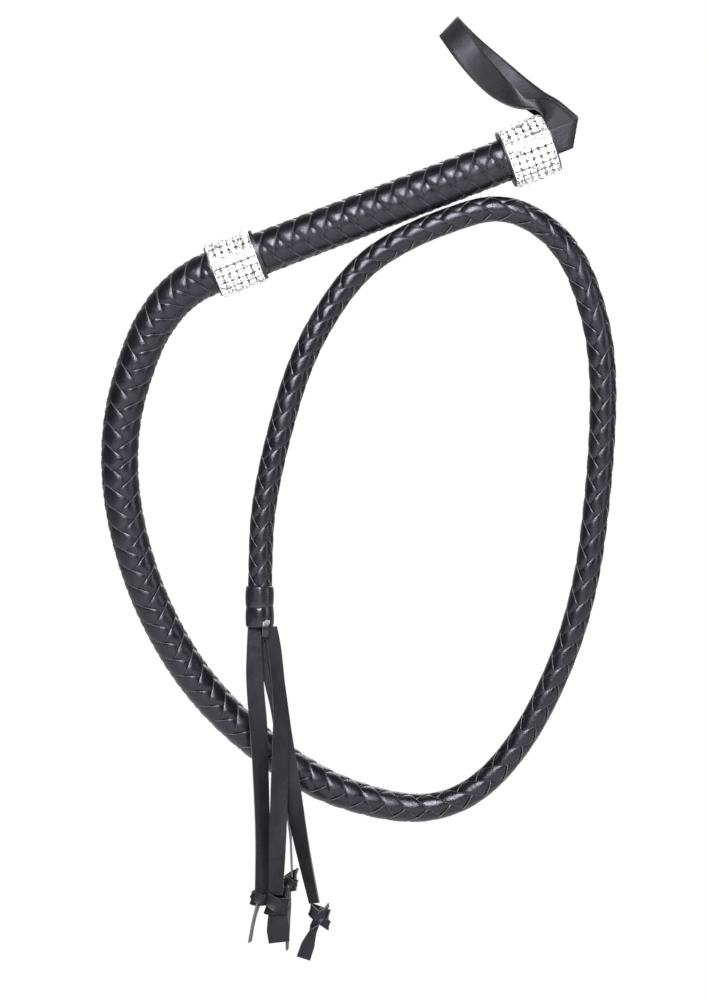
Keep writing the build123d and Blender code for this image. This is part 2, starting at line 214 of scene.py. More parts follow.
def plait(name, line, diameters, chevrons, turn, drift, material):
    """Eight strips round a filler. Four run one way round and four the other, each a quarter
    turn from the next, and each climbs over two, then dives under two, as a flattened sine of
    where it stands among the strips that cross it. The winding counts the chevrons passed, and
    the drift twists the whole plait. Returns the piece and the winding at its end."""
    at, points, _, front, side = walked(line, plait_step)
    passed = np.diff(at) / (chevrons[1:] + chevrons[:-1]) * 2
    winding = turn + np.concatenate([[0], np.cumsum(passed)])
    all_points, all_faces, all_values = [], [], []
    for way in (1, -1):
        for strip in range(strips_each_way):
            spread = strip_section[None, :, 0] / 2 * strip_fill
            quarter = way * winding[:, None] + strip + spread
            crossing = 2 * strip + spread + way * 2 * winding[:, None]
            wave = way * np.sin(np.pi / 2 * (crossing + 0.5))
            lift = np.tanh(climb_steepness * (wave - climb_delay))
            angle = (quarter - 0.75) * np.pi / 2 + drift[:, None]
            radius = diameters[:, None] / 2 - strip_lift + strip_lift * lift
            radius = radius + strip_section[None, :, 1] * strip_thickness
            ring = points[:, None] + radius[..., None] * (
                np.cos(angle)[..., None] * front[:, None] + np.sin(angle)[..., None] * side[:, None]
            )
            first = sum(len(p) for p in all_points)
            all_points.append(ring.reshape(-1, 3))
            all_faces += tube_faces(len(at), len(strip_section), first)
            across = np.broadcast_to(strip_section[None, :, 2], ring.shape[:2])
            run = np.broadcast_to(at[:, None] * marks_in_metre, ring.shape[:2])
            all_values.append(np.stack([run, across], axis=2).reshape(-1, 2))
    # the filler inside: a plain round cord, with a ring at every fourth point
    spots = np.arange(filler_sides) * 2 * np.pi / filler_sides
    core = diameters[:, None] / 2 - 2 * strip_lift - strip_thickness
    filler = points[:, None] + core[..., None] * (
        np.cos(spots)[None, :, None] * front[:, None] + np.sin(spots)[None, :, None] * side[:, None]
    )
    filler = filler[::filler_every]
    first = sum(len(p) for p in all_points)
    all_points.append(filler.reshape(-1, 3))
    all_faces += tube_faces(len(filler), filler_sides, first)
    all_values.append(np.zeros((len(filler) * filler_sides, 2)))
    piece = new_piece(name, np.concatenate(all_points), all_faces, material)
    corner_values(piece, "strip", np.concatenate(all_values))
    return piece, winding[-1]


def shader(name, base, roughness):
    """A new material of one colour and roughness: the material, its tree and its main shader."""
    material = bpy.data.materials.new(name)
    material.use_nodes = True
    tree = material.node_tree
    main = tree.nodes["Principled BSDF"]
    main.inputs["Base Color"].default_value = (*base, 1)
    main.inputs["Roughness"].default_value = roughness
    return material, tree, main


def node(tree, kind, **settings):
    """Adds a node; a setting named in_N fills its Nth input, and any other is its own."""
    made = tree.nodes.new(kind)
    for key, value in settings.items():
        if key.startswith("in_"):
            made.inputs[int(key[3:])].default_value = value
        else:
            setattr(made, key, value)
    return made


# the coating's gloss is very slightly violet
coating_gloss = (0.88, 0.85, 1, 1)


def leather(name, dark, light, roughness, grain, grain_depth, cut_edge=None, gloss=0.5):
    """Coated leather: two blacks in soft patches, rubbed and fresh gloss in the same patches,
    a pebbled grain over finer creases, and a paler cut edge where the coating stops."""
    material, tree, main = shader(name, dark, roughness)
    main.inputs["Specular IOR Level"].default_value = gloss
    main.inputs["Specular Tint"].default_value = coating_gloss
    link = tree.links.new
    place = node(tree, "ShaderNodeTexCoord")
    patches = node(tree, "ShaderNodeTexNoise")
    patches.inputs["Scale"].default_value = 90
    patches.inputs["Detail"].default_value = 3
    link(place.outputs["Object"], patches.inputs["Vector"])
    tone = node(tree, "ShaderNodeMix", data_type="RGBA")
    tone.inputs[6].default_value = (*dark, 1)
    tone.inputs[7].default_value = (*light, 1)
    link(patches.outputs[0], tone.inputs[0])
    colour = tone.outputs[2]
    if cut_edge:
        uv = node(tree, "ShaderNodeUVMap", uv_map="strip")
        split = node(tree, "ShaderNodeSeparateXYZ")
        link(uv.outputs[0], split.inputs[0])
        far = node(tree, "ShaderNodeMath", operation="ABSOLUTE")
        link(split.outputs[1], far.inputs[0])
        edge = node(tree, "ShaderNodeMapRange", in_1=0.955, in_2=1.01, in_3=0.0, in_4=1.0)
        link(far.outputs[0], edge.inputs[0])
        edged = node(tree, "ShaderNodeMix", data_type="RGBA")
        edged.inputs[7].default_value = (*cut_edge, 1)
        link(edge.outputs[0], edged.inputs[0])
        link(colour, edged.inputs[6])
        colour = edged.outputs[2]
    link(colour, main.inputs["Base Color"])
    rough = node(tree, "ShaderNodeMapRange", in_1=0.3, in_2=0.7)
    rough.inputs[3].default_value = roughness - 0.05
    rough.inputs[4].default_value = roughness + 0.09
    link(patches.outputs[0], rough.inputs[0])
    link(rough.outputs[0], main.inputs["Roughness"])
    pebble = node(tree, "ShaderNodeTexVoronoi")
    pebble.inputs["Scale"].default_value = grain
    link(place.outputs["Object"], pebble.inputs["Vector"])
    fibres = node(tree, "ShaderNodeTexNoise")
    fibres.inputs["Scale"].default_value = grain * 0.28
    fibres.inputs["Detail"].default_value = 5
    link(place.outputs["Object"], fibres.inputs["Vector"])
    pebbles = node(tree, "ShaderNodeBump", in_0=grain_depth, in_1=0.0002)
    link(pebble.outputs["Distance"], pebbles.inputs["Height"])
    creases = node(tree, "ShaderNodeBump", in_0=grain_depth * 1.3, in_1=0.0006)
    link(fibres.outputs[0], creases.inputs["Height"])
    link(pebbles.outputs[0], creases.inputs["Normal"])
    link(creases.outputs[0], main.inputs["Normal"])
    return material


plait_black = leather(
    "plait_black",
    dark=(0.0020, 0.0019, 0.0026),
    light=(0.0048, 0.0045, 0.0058),
    roughness=0.31,
    grain=1500,
    grain_depth=0.2,
    cut_edge=(0.12, 0.115, 0.115),
    gloss=0.45,
)
thong_line = route_line("thong_route", thong_route)
thong_at = walked(thong_line, plait_step)[0]
thong, thong_turn = plait(
    "thong_plait",
    thong_line,
    carried(thong_line, thong_route, thong_diameters, thong_at),
    carried(thong_line, thong_route, thong_chevrons, thong_at),
    0.0,
    np.radians(carried(thong_line, thong_route, thong_twist, thong_at)),
    plait_black,
)
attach(thong, "handle_and_loop")
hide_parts("thong_braid", "thong_core")

# ---- Tail: the thong's free end ------------------------------------------------------------
# The same eight strips carry on from where a hand clasps the thong down to the binding. The
# plait bends where it leaves the clasp.
tail_route = np.array([
    free_end_pivot,
    (-0.0608, -0.0002, -0.0557),
    (-0.0814, -0.003, -0.0806),
    (-0.1030, -0.0065, -0.120),
    (-0.1184, -0.0095, -0.1742),
    (-0.1264, -0.010, -0.214),
    (-0.1281, -0.010, -0.243),
    (-0.1287, -0.010, -0.285),
])
tail_diameters = np.array([16.8, 16.6, 16.4, 16.4, 16.2, 16.0, 15.8, 15.6]) / 1000
tail_chevrons = np.array([13.0, 13.0, 13.0, 12.8, 12.6, 12.6, 12.6, 12.6]) / 1000
tail_twist = np.radians([30, 25])
tail_line = route_line("tail_route", tail_route)
tail_at = walked(tail_line, plait_step)[0]
tail, _ = plait(
    "tail_plait",
    tail_line,
    carried(tail_line, tail_route, tail_diameters, tail_at),
    carried(tail_line, tail_route, tail_chevrons, tail_at),
    thong_turn,
    np.interp(tail_at, [0, tail_at[-1]], tail_twist),
    plait_black,
)
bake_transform(tail)
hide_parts("tail_braid", "tail_core")

# ---- Handle plait --------------------------------------------------------------------------
# The same plait laid tight over the stiff rod, from the butt down to the heel collar.
handle_diameter = 0.0284
handle_chevron = 0.0113
handle_line = np.array([heel_way * 0.0625, heel_way * -0.1602])
handle_at = walked(handle_line, plait_step)[0]
handle_plait, _ = plait(
    "handle_plait",
    handle_line,
    np.full(len(handle_at), handle_diameter),
    np.full(len(handle_at), handle_chevron),
    0.0,
    np.zeros(len(handle_at)),
    plait_black,
)
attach(handle_plait, "handle_and_loop")
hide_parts("handle_braid")

# ---- Collars -------------------------------------------------------------------------------
# Each collar is a turned leather sleeve with a silvered band round it, and on the band six
# columns of square, foil-backed crystal stones with nipped corners, set a hair apart.
handle_up = np.array([-heel_way[2], 0, heel_way[0]])
to_back = np.array([0, 1.0, 0])
stone_columns = 6
stone_half = 0.00221
stone_nip = 0.0009
stone_table = 0.00135
stone_foot = -0.0003
stone_girdle = 0.0006
stone_height = 0.0015
stone_pitch = 0.00485
stone_lean = 0.04


def octagon(half, nip, height):
    """Eight points: a square of this half size with its corners cut back, at one height."""
    near = half - nip
    flat = [(half, -near), (half, near), (near, half), (-near, half), (-half, near), (-half, -near)]
    flat += [(-near, -half), (near, -half)]
    return [(x, y, height) for x, y in flat]


def set_stones(name, first, rows, band_radius, seed, material):
    """Six columns of stones round a band. Each stone is a nipped square girdle, sixteen
    three-cornered crown facets and an eight-sided table, leaned by up to two degrees or so."""
    corners = [k * math.pi / 4 for k in range(8)]
    table = [(stone_table * math.cos(c), stone_table * math.sin(c), stone_height) for c in corners]
    foot = octagon(stone_half, stone_nip, stone_foot)
    girdle = octagon(stone_half, stone_nip, stone_girdle)
    model = np.array(foot + girdle + table)
    k = np.arange(8)
    after = (k + 1) % 8
    model_faces = [np.arange(8)[::-1]]
    model_faces += list(np.stack([k, after, after + 8, k + 8], axis=1))
    model_faces += list(np.stack([k + 8, after + 8, after + 16], axis=1))
    model_faces += list(np.stack([k + 8, after + 16, k + 16], axis=1))
    model_faces += [np.arange(16, 24)]
    lean = np.random.default_rng(seed).uniform(-stone_lean, stone_lean, (stone_columns, rows, 2))
    column, row = np.meshgrid(np.arange(stone_columns), np.arange(rows), indexing="ij")
    angle = row * 2 * math.pi / rows
    out = np.cos(angle)[..., None] * handle_up - np.sin(angle)[..., None] * to_back
    round_way = -np.sin(angle)[..., None] * handle_up - np.cos(angle)[..., None] * to_back
    centre = (first + column * stone_pitch)[..., None] * heel_way + band_radius * out
    along = np.broadcast_to(heel_way, out.shape)
    tilted = out + lean[..., :1] * along + lean[..., 1:] * round_way
    across = np.cross(tilted, along)
    across = across / np.linalg.norm(across, axis=2)[..., None]
    up = np.cross(along, across)
    points = (
        centre[:, :, None]
        + model[None, None, :, 0, None] * along[:, :, None]
        + model[None, None, :, 1, None] * across[:, :, None]
        + model[None, None, :, 2, None] * up[:, :, None]
    ).reshape(-1, 3)
    faces = [face + len(model) * stone for stone in range(stone_columns * rows) for face in model_faces]
    return new_piece(name, points, faces, material, smooth_degrees=3)


def crystal(name):
    """Clear stone over foil: bright silver broken into small darker and lighter specks, which are
    painted reflections of the inner facets seen through the crown."""
    material, tree, main = shader(name, (0.93, 0.94, 0.96), 0.07)
    main.inputs["Metallic"].default_value = 0.55
    place = node(tree, "ShaderNodeTexCoord")
    # small cells of painted reflection: darker and lighter facets over the bright foil
    facet_reflection_flecks = node(tree, "ShaderNodeTexVoronoi")
    facet_reflection_flecks.inputs["Scale"].default_value = 560
    tree.links.new(place.outputs["Object"], facet_reflection_flecks.inputs["Vector"])
    pick = node(tree, "ShaderNodeSeparateXYZ")
    tree.links.new(facet_reflection_flecks.outputs["Color"], pick.inputs[0])
    # the ramp's dark and light tones are painted facet reflections
    ramp = node(tree, "ShaderNodeValToRGB")
    ramp.color_ramp.elements[0].position = 0.1
    ramp.color_ramp.elements[0].color = (0.3, 0.31, 0.33, 1)
    ramp.color_ramp.elements[1].position = 0.3
    ramp.color_ramp.elements[1].color = (0.97, 0.97, 0.98, 1)
    tree.links.new(pick.outputs[0], ramp.inputs[0])
    tree.links.new(ramp.outputs[0], main.inputs["Base Color"])
    haze = node(tree, "ShaderNodeMapRange", in_1=0.0, in_2=1.0, in_3=0.04, in_4=0.16)
    tree.links.new(pick.outputs[1], haze.inputs[0])
    tree.links.new(haze.outputs[0], main.inputs["Roughness"])
    return material


def silvered(name):
    """Silver plating painted dark all over, as painted shade for where it shows in the gaps between the
    stones, with specks of wear.
    """
    material, tree, main = shader(name, (0.2, 0.2, 0.21), 0.3)
    main.inputs["Metallic"].default_value = 1.0
    place = node(tree, "ShaderNodeTexCoord")
    wear = node(tree, "ShaderNodeTexNoise")
    wear.inputs["Scale"].default_value = 350
    wear.inputs["Detail"].default_value = 4
    tree.links.new(place.outputs["Object"], wear.inputs["Vector"])
    # both tones are silver painted dark as shade; the noise spreads specks of wear between them
    ramp = node(tree, "ShaderNodeValToRGB")
    ramp.color_ramp.elements[0].position = 0.35
    ramp.color_ramp.elements[0].color = (0.05, 0.05, 0.052, 1)
    ramp.color_ramp.elements[1].position = 0.6
    ramp.color_ramp.elements[1].color = (0.2, 0.2, 0.205, 1)
    tree.links.new(wear.outputs[0], ramp.inputs[0])
    tree.links.new(ramp.outputs[0], main.inputs["Base Color"])
    dull = node(tree, "ShaderNodeMapRange", in_1=0.3, in_2=0.7, in_3=0.42, in_4=0.2)
    tree.links.new(wear.outputs[0], dull.inputs[0])
    tree.links.new(dull.outputs[0], main.inputs["Roughness"])
    return material


stone_clear = crystal("stone_clear")
heel_band_radius, butt_band_radius = 0.0167, 0.0188
# for each collar: where its first column lies, the stones in a row round it, its radius, a seed
for collar, first, rows, radius, seed in (
    ("heel", -0.16783, 21, heel_band_radius, 3),
    ("butt", 0.03688, 24, butt_band_radius, 5),
):
    stones = set_stones(collar + "_stones", first, rows, radius, seed, stone_clear)
    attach(stones, "handle_and_loop")
    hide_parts(collar + "_collar_stones")

# the band's silver is painted dark: painted shade for the gaps between the stones
band_silver = silvered("band_silver")
sleeve_leather = leather("sleeve_leather", (0.008, 0.008, 0.009), (0.018, 0.0175, 0.0185), 0.4, 1200, 0.25)
for node_name, finish in (
    ("heel_collar_band", band_silver),
    ("butt_collar_band", band_silver),
    ("heel_collar_sleeve", sleeve_leather),
    ("butt_collar_sleeve", sleeve_leather),
    ("butt_cap", sleeve_leather),
):
    cad_node = bpy.data.objects[node_name]
    cad_node.data.materials.clear()
    cad_node.data.materials.append(finish)

edge_size = 0.0009
edge_sunk = 0.0002
edge_spots = 96


def band_edges(name, first, last, radius, material):
    """Two bright turned-up edges, one at each end of a band: closed rings whose section is a
    small rounded square."""
    angle = np.linspace(0, 2 * math.pi, edge_spots, endpoint=False)
    out = np.cos(angle)[:, None] * handle_up - np.sin(angle)[:, None] * to_back
    section = edge_size * np.array([(0, 0), (0, 0.6), (0.2, 0.9), (0.5, 1), (0.8, 0.9), (1, 0.6), (1, 0)])
    sides = len(section)
    points, faces = [], []
    for end, way in ((first, 1), (last, -1)):
        along = end + way * section[:, 0]
        height = radius - edge_sunk + section[:, 1]
        ring = along[None, :, None] * heel_way + height[None, :, None] * out[:, None]
        turn, spot = np.meshgrid(np.arange(edge_spots), np.arange(sides), indexing="ij")
        base = sum(len(p) for p in points)
        a = base + turn * sides + spot
        b = base + turn * sides + (spot + 1) % sides
        c = base + (turn + 1) % edge_spots * sides + (spot + 1) % sides
        d = base + (turn + 1) % edge_spots * sides + spot
        quads = np.stack([a, d, c, b] if way > 0 else [a, b, c, d], axis=2).reshape(-1, 4)
        points.append(ring.reshape(-1, 3))
        faces += list(quads)
    return new_piece(name, np.concatenate(points), faces, material, smooth_degrees=60)


edge_silver, edge_tree, edge_main = shader("edge_silver", (0.86, 0.86, 0.88), 0.22)
edge_main.inputs["Metallic"].default_value = 0.8
edge_place = node(edge_tree, "ShaderNodeTexCoord")
edge_wear = node(edge_tree, "ShaderNodeTexNoise")
edge_wear.inputs["Scale"].default_value = 500
edge_tree.links.new(edge_place.outputs["Object"], edge_wear.inputs["Vector"])
edge_dull = node(edge_tree, "ShaderNodeMapRange", in_1=0.3, in_2=0.7, in_3=0.35, in_4=0.14)
edge_tree.links.new(edge_wear.outputs[0], edge_dull.inputs[0])
edge_tree.links.new(edge_dull.outputs[0], edge_main.inputs["Roughness"])
for collar, first, last, radius in (
    ("heel", -0.1701, -0.1404, heel_band_radius),
    ("butt", 0.0339, 0.0641, butt_band_radius),
):
    edges = band_edges(collar + "_band_edges", first, last, radius, edge_silver)
    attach(edges, "handle_and_loop")

# ---- Stiff rod inside the handle -----------------------------------------------------------
# A turned wooden rod, hidden under the plait, with its grain along the handle.
wood, wood_tree, wood_main = shader("rod_wood", (0.42, 0.27, 0.14), 0.6)
wood_place = node(wood_tree, "ShaderNodeTexCoord")
wood_turn = node(wood_tree, "ShaderNodeMapping")
wood_turn.inputs["Rotation"].default_value = (0, handle_slope, 0)
wood_turn.inputs["Scale"].default_value = (0.12, 1, 1)
wood_grain = node(wood_tree, "ShaderNodeTexNoise")
wood_grain.inputs["Scale"].default_value = 420
wood_grain.inputs["Detail"].default_value = 4
wood_tree.links.new(wood_place.outputs["Object"], wood_turn.inputs[0])
wood_tree.links.new(wood_turn.outputs[0], wood_grain.inputs["Vector"])
wood_tone = node(wood_tree, "ShaderNodeMix", data_type="RGBA")
wood_tone.inputs[6].default_value = (0.3, 0.18, 0.09, 1)
wood_tone.inputs[7].default_value = (0.52, 0.36, 0.2, 1)
wood_tree.links.new(wood_grain.outputs[0], wood_tone.inputs[0])
wood_tree.links.new(wood_tone.outputs[2], wood_main.inputs["Base Color"])
wood_bump = node(wood_tree, "ShaderNodeBump", in_0=0.3, in_1=0.0004)
wood_tree.links.new(wood_grain.outputs[0], wood_bump.inputs["Height"])
wood_tree.links.new(wood_bump.outputs[0], wood_main.inputs["Normal"])
bpy.data.objects["handle_core"].data.materials.clear()
bpy.data.objects["handle_core"].data.materials.append(wood)

# ---- Wrist strap ---------------------------------------------------------------------------
# One flat strap of soft black leather. Its two ends lie on each other in the butt, come out
# together, fold back over a slanting crease, and part into the loop that hangs on the wrist.
strap_width = 0.0175
strap_thickness = 0.0015
# a flat strap's section: across and up, as shares of its half width and half thickness, and
# where across the strap a point is, past 1 on the cut edges
flat_section = np.array([
    (-1.000, -0.45, -1.3),
    (-1.000, 0.45, -1.3),
    (-0.975, 0.95, -0.93),
    (-0.700, 1.00, -0.7),
    (-0.350, 1.00, -0.35),
    (0.000, 1.00, 0.0),
    (0.350, 1.00, 0.35),
    (0.700, 1.00, 0.7),
    (0.975, 0.95, 0.93),
    (1.000, 0.45, 1.3),
    (1.000, -0.45, 1.3),
    (0.975, -0.95, 0.93),
    (0.700, -1.00, 0.7),
    (0.000, -1.00, 0.0),
    (-0.700, -1.00, -0.7),
    (-0.975, -0.95, -0.93),
])[::-1]


def flat_run(line, across, widths, thickness, curl=0.0, step=0.0012):
    """A flat strip carried along a line: at each step a ring with its width along the across
    direction. Curl lifts the edges by that share of the width. Returns points, faces, marks."""
    at, points, ahead, _, _ = walked(line, step)
    share = at / at[-1]
    places = np.linspace(0, 1, len(across))
    wide = np.column_stack([np.interp(share, places, across[:, k]) for k in range(3)])
    wide = wide - ahead * (wide * ahead).sum(axis=1)[:, None]
    wide /= np.linalg.norm(wide, axis=1)[:, None]
    up = np.cross(ahead, wide)
    half = np.interp(share, np.linspace(0, 1, len(widths)), widths)[:, None] / 2
    u, v = flat_section[None, :, 0], flat_section[None, :, 1]
    rise = v * thickness / 2 + curl * half * u**2
    ring = points[:, None] + (u * half)[..., None] * wide[:, None] + rise[..., None] * up[:, None]
    marks = np.stack([
        np.broadcast_to(at[:, None] * marks_in_metre, ring.shape[:2]),
        np.broadcast_to(flat_section[None, :, 2], ring.shape[:2]),
    ], axis=2)
    return ring.reshape(-1, 3), tube_faces(len(at), len(flat_section)), marks.reshape(-1, 2)


def strip_piece(name, runs, material):
    """One piece from several runs, each with its own points, faces and marks."""
    starts = np.concatenate([[0], np.cumsum([len(run_points) for run_points, _, _ in runs])])
    faces = [face + starts[k] for k, (_, run_faces, _) in enumerate(runs) for face in run_faces]
    points = np.concatenate([run_points for run_points, _, _ in runs])
    piece = new_piece(name, points, faces, material, smooth_degrees=60)
    corner_values(piece, "strip", np.concatenate([marks for _, _, marks in runs]))
    return piece


strap_black = leather(
    "strap_black",
    dark=(0.0075, 0.0075, 0.0078),
    light=(0.0144, 0.0141, 0.0150),
    roughness=0.5,
    grain=900,
    grain_depth=0.32,
    cut_edge=(0.055, 0.053, 0.053),
    gloss=0.28,
)
# the crease, as distances along the handle and up from its middle: its foot and the way it runs
crease_foot = np.array([0.0733, -0.00875])
crease_way = np.array([0.0104, 0.0175])
crease_way = crease_way / np.linalg.norm(crease_way)
crease_out = np.array([crease_way[1], -crease_way[0]])
fold_middle = 0.00175
strap_legs_start, strap_legs_end = 0.046, 0.098


def folded_leg(radius):
    """A leg of the strap, flat in the handle's plane up to the crease, round the crease on a
    small cylinder, and flat again behind: a point's distance past the crease is wound on."""
    runs = np.linspace(strap_legs_start, strap_legs_end, 76)[:, None]
    q = flat_section[None, :, 0] * strap_width / 2
    p = runs + 0 * q
    along = (p - crease_foot[0]) * crease_way[0] + (q - crease_foot[1]) * crease_way[1]
    past = (p - crease_foot[0]) * crease_out[0] + (q - crease_foot[1]) * crease_out[1]
    turn = np.clip(past / radius, 0, math.pi)
    out = np.minimum(past, 0) + radius * np.sin(turn) - np.maximum(past - math.pi * radius, 0)
    lift = flat_section[None, :, 1] * strap_thickness / 2
    out = out + lift * np.sin(turn)
    back = fold_middle - radius * np.cos(turn) - lift * np.cos(turn)
    flat_p = crease_foot[0] + along * crease_way[0] + out * crease_out[0]
    flat_q = crease_foot[1] + along * crease_way[1] + out * crease_out[1]
    points = flat_p[..., None] * heel_way + flat_q[..., None] * handle_up + back[..., None] * to_back
    marks = np.stack([p * marks_in_metre, np.broadcast_to(flat_section[None, :, 2], p.shape)], axis=2)
    return points.reshape(-1, 3), tube_faces(len(runs), len(flat_section)), marks.reshape(-1, 2)


inner_fold, outer_fold = 0.001, 0.0025
strap_fold = strip_piece(
    "strap_fold", [folded_leg(inner_fold), folded_leg(outer_fold)], strap_black
)
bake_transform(strap_fold)
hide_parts("strap_root")

strap_loop_route = np.array([
    (0.06155, 0.00275, 0.04025),
    (0.0588, 0.0026, 0.0426),
    (0.0555, -0.0010, 0.0452),
    (0.0470, -0.0050, 0.0470),
    (0.0356, -0.0115, 0.0504),
    (0.0244, -0.0175, 0.0570),
    (0.0142, -0.0220, 0.0670),
    (0.0050, -0.0235, 0.0780),
    (-0.0020, -0.0185, 0.0890),
    (-0.0060, -0.0070, 0.0970),
    (-0.0055, 0.0060, 0.0995),
    (0.0000, 0.0175, 0.0955),
    (0.0105, 0.0235, 0.0865),
    (0.0250, 0.0245, 0.0745),
    (0.0390, 0.0205, 0.0620),
    (0.0510, 0.0130, 0.0518),
    (0.0585, 0.0055, 0.0460),
    (0.06238, 0.00425, 0.0427),
    (0.06619, 0.00425, 0.03945),
])
strap_loop_across = np.array([
    (0.648, 0.0, 0.761),
    (0.648, 0.05, 0.76),
    (0.50, 0.75, 0.45),
    (0.10, 0.95, 0.28),
    (0.36, 0.72, 0.60),
    (0.55, 0.40, 0.73),
    (0.66, 0.12, 0.74),
    (0.75, 0.0, 0.66),
    (0.74, 0.0, 0.67),
    (0.69, 0.0, 0.72),
    (0.68, 0.0, 0.73),
    (0.68, 0.0, 0.73),
    (0.67, -0.08, 0.74),
    (0.64, -0.10, 0.76),
    (0.68, 0.10, 0.72),
    (0.74, 0.20, 0.66),
    (0.68, 0.10, 0.72),
    (0.648, 0.0, 0.761),
    (0.648, 0.0, 0.761),
])
strap_line = route_line("strap_loop_route", strap_loop_route)
strap_at = np.linspace(0, lengths_along(strap_line)[-1], 60)
strap_across = np.column_stack([
    carried(strap_line, strap_loop_route, strap_loop_across[:, k], strap_at) for k in range(3)
])
strap_loop = strip_piece(
    "strap_loop",
    [flat_run(strap_line, strap_across, [strap_width], strap_thickness)],
    strap_black,
)
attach(strap_loop, "wrist_strap")
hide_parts("wrist_loop")

# ---- Tip binding ---------------------------------------------------------------------------
# A strip of glossy leather wound twice round the thong's end and pulled tight, so that each
# wrap bulges. Its end is folded and tucked in below.
binding_x, binding_y = -0.1286, -0.010
binding_low, binding_high = -0.2914, -0.2650
binding_radius = 0.0083
binding_bore_radius = 0.0068
wrap_bulge = 0.00088


def wraps():
    """A closed sleeve whose outside is two half-sine bulges with a sharp groove between, the
    groove climbing slightly as it goes round, and shallow creases running up and down."""
    angle = np.linspace(0, 2 * math.pi, 96, endpoint=False)[None, :]
    up = np.linspace(0, 1, 41)[:, None]
    groove = 0.5 + 0.03 * np.sin(angle + 0.7)
    wrap = np.where(up < groove, up / groove, (up - groove) / (1 - groove))
    bulge = np.maximum(np.sin(np.pi * wrap), 0) ** 0.3
    crease = 0.00010 * np.sin(5 * angle + 2.0 * np.sin(3 * angle)) + 0.00005 * np.sin(11 * angle + 6 * up)
    radius = binding_radius + wrap_bulge * bulge + crease * bulge
    height = binding_low + (binding_high - binding_low) * up + 0 * angle
    bore = binding_bore_radius + 0 * up
    outside, inside = (
        np.stack([binding_x + r * np.cos(angle), binding_y + r * np.sin(angle), height], axis=2)
        for r in (radius, bore)
    )
    grid = np.concatenate([outside, inside[[-1, 0]]])
    rings, around = grid.shape[:2]
    ring, spot = np.meshgrid(np.arange(rings), np.arange(around), indexing="ij")
    a = ring * around + spot
    b = ring * around + (spot + 1) % around
    up_a = (ring + 1) % rings * around + spot
    up_b = (ring + 1) % rings * around + (spot + 1) % around
    faces = np.stack([a, b, up_b, up_a], axis=2).reshape(-1, 4)
    return grid.reshape(-1, 3), list(faces), np.zeros((rings * around, 2))


binding_end_line = route_line("binding_end_route", np.array([
    (-0.1240, -0.0178, -0.2868),
    (-0.1242, -0.0189, -0.2898),
    (-0.1245, -0.0190, -0.2935),
    (-0.1249, -0.0183, -0.2972),
    (-0.1248, -0.0172, -0.2978),
    (-0.1246, -0.0166, -0.2950),
    (-0.1245, -0.0168, -0.2916),
]))
binding_end = flat_run(
    binding_end_line,
    np.array([(1.0, 0.1, 0.15), (1.0, 0.2, -0.1)]),
    widths=[0.0046, 0.0040, 0.0036],
    thickness=0.0009,
    step=0.0004,
)
binding_gloss = leather(
    "binding_gloss",
    dark=(0.0042, 0.0042, 0.0045),
    light=(0.0096, 0.0093, 0.0099),
    roughness=0.27,
    grain=1300,
    grain_depth=0.16,
    cut_edge=(0.22, 0.215, 0.21),
)
binding = strip_piece("binding", [wraps(), binding_end], binding_gloss)
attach(binding, "free_end")
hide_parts("tip_binding")

# ---- Tassel --------------------------------------------------------------------------------
# Four flat strips of the same leather hang out of the binding one behind another. Each ends
# in an overhand knot: the strip wraps once round itself, and its loose end comes out below.
strip_black = leather(
    "strip_black",
    dark=(0.0040, 0.0040, 0.0043),
    light=(0.0083, 0.0080, 0.0088),
    roughness=0.4,
    grain=1000,
    grain_depth=0.28,
    cut_edge=(0.085, 0.082, 0.08),
    gloss=0.26,
)
strip_sheet = 0.0012


def tassel_strip(name, strip, knot, loose_end):
    """A hanging strip and its knot. The strip and the loose tail are flat runs. The wrap is a
    flat run round a leaning oval about the strip's foot, a turn and a bit, and a second,
    shorter one crosses in front of it the other way. The strip and the loose end are each
    given as a route, the way its width lies and its widths, and the knot as its centre, half
    width, half depth, lean and the width of its band."""
    route, across, widths = strip
    line = route_line(name + "_route", np.array(route))
    flat = flat_run(line, np.array(across), widths, strip_sheet, curl=0.05)
    hanging = strip_piece(name + "_strip", [flat], strip_black)
    centre, wide, deep, lean, band = knot
    angle = np.linspace(-0.6, 2 * math.pi + 0.5, 15)
    oval = np.column_stack([
        wide * np.cos(angle),
        -deep * np.sin(angle) * (1 + 0.08 * angle / math.pi),
        lean * np.cos(angle) + 0.0011 * (angle - math.pi),
    ]) + np.array(centre)
    first = flat_run(
        route_line(name + "_wrap", oval),
        np.column_stack([0.25 * np.cos(angle * 2), 0 * angle, np.ones(15)]),
        [band * 0.75, band, band * 0.9, band],
        strip_sheet,
        curl=-0.12,
        step=0.0006,
    )
    cross_angle = np.linspace(0.35, math.pi - 0.25, 9)
    cross = np.column_stack([
        wide * 1.02 * np.cos(cross_angle),
        -(deep + 0.0013) * np.sin(cross_angle) - 0.0003,
        -lean * 2.1 * np.cos(cross_angle) - 0.0012 * np.sin(cross_angle),
    ]) + np.array(centre)
    second = flat_run(
        route_line(name + "_cross", cross),
        np.column_stack([0.35 + 0 * cross_angle, 0 * cross_angle, np.ones(9)]),
        [band * 0.45, band * 0.75, band * 0.8, band * 0.5],
        strip_sheet,
        curl=-0.16,
        step=0.0006,
    )
    loose_route, loose_across, loose_widths = loose_end
    loose_line = route_line(name + "_tail", np.array(loose_route))
    loose = flat_run(loose_line, np.array(loose_across), loose_widths, strip_sheet, curl=0.06)
    tied = strip_piece(name + "_knot", [first, second, loose], strip_black)
    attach(hanging, "tassel_" + name)
    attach(tied, "tassel_" + name)
    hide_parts("strip_" + name)
    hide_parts("knot_" + name)


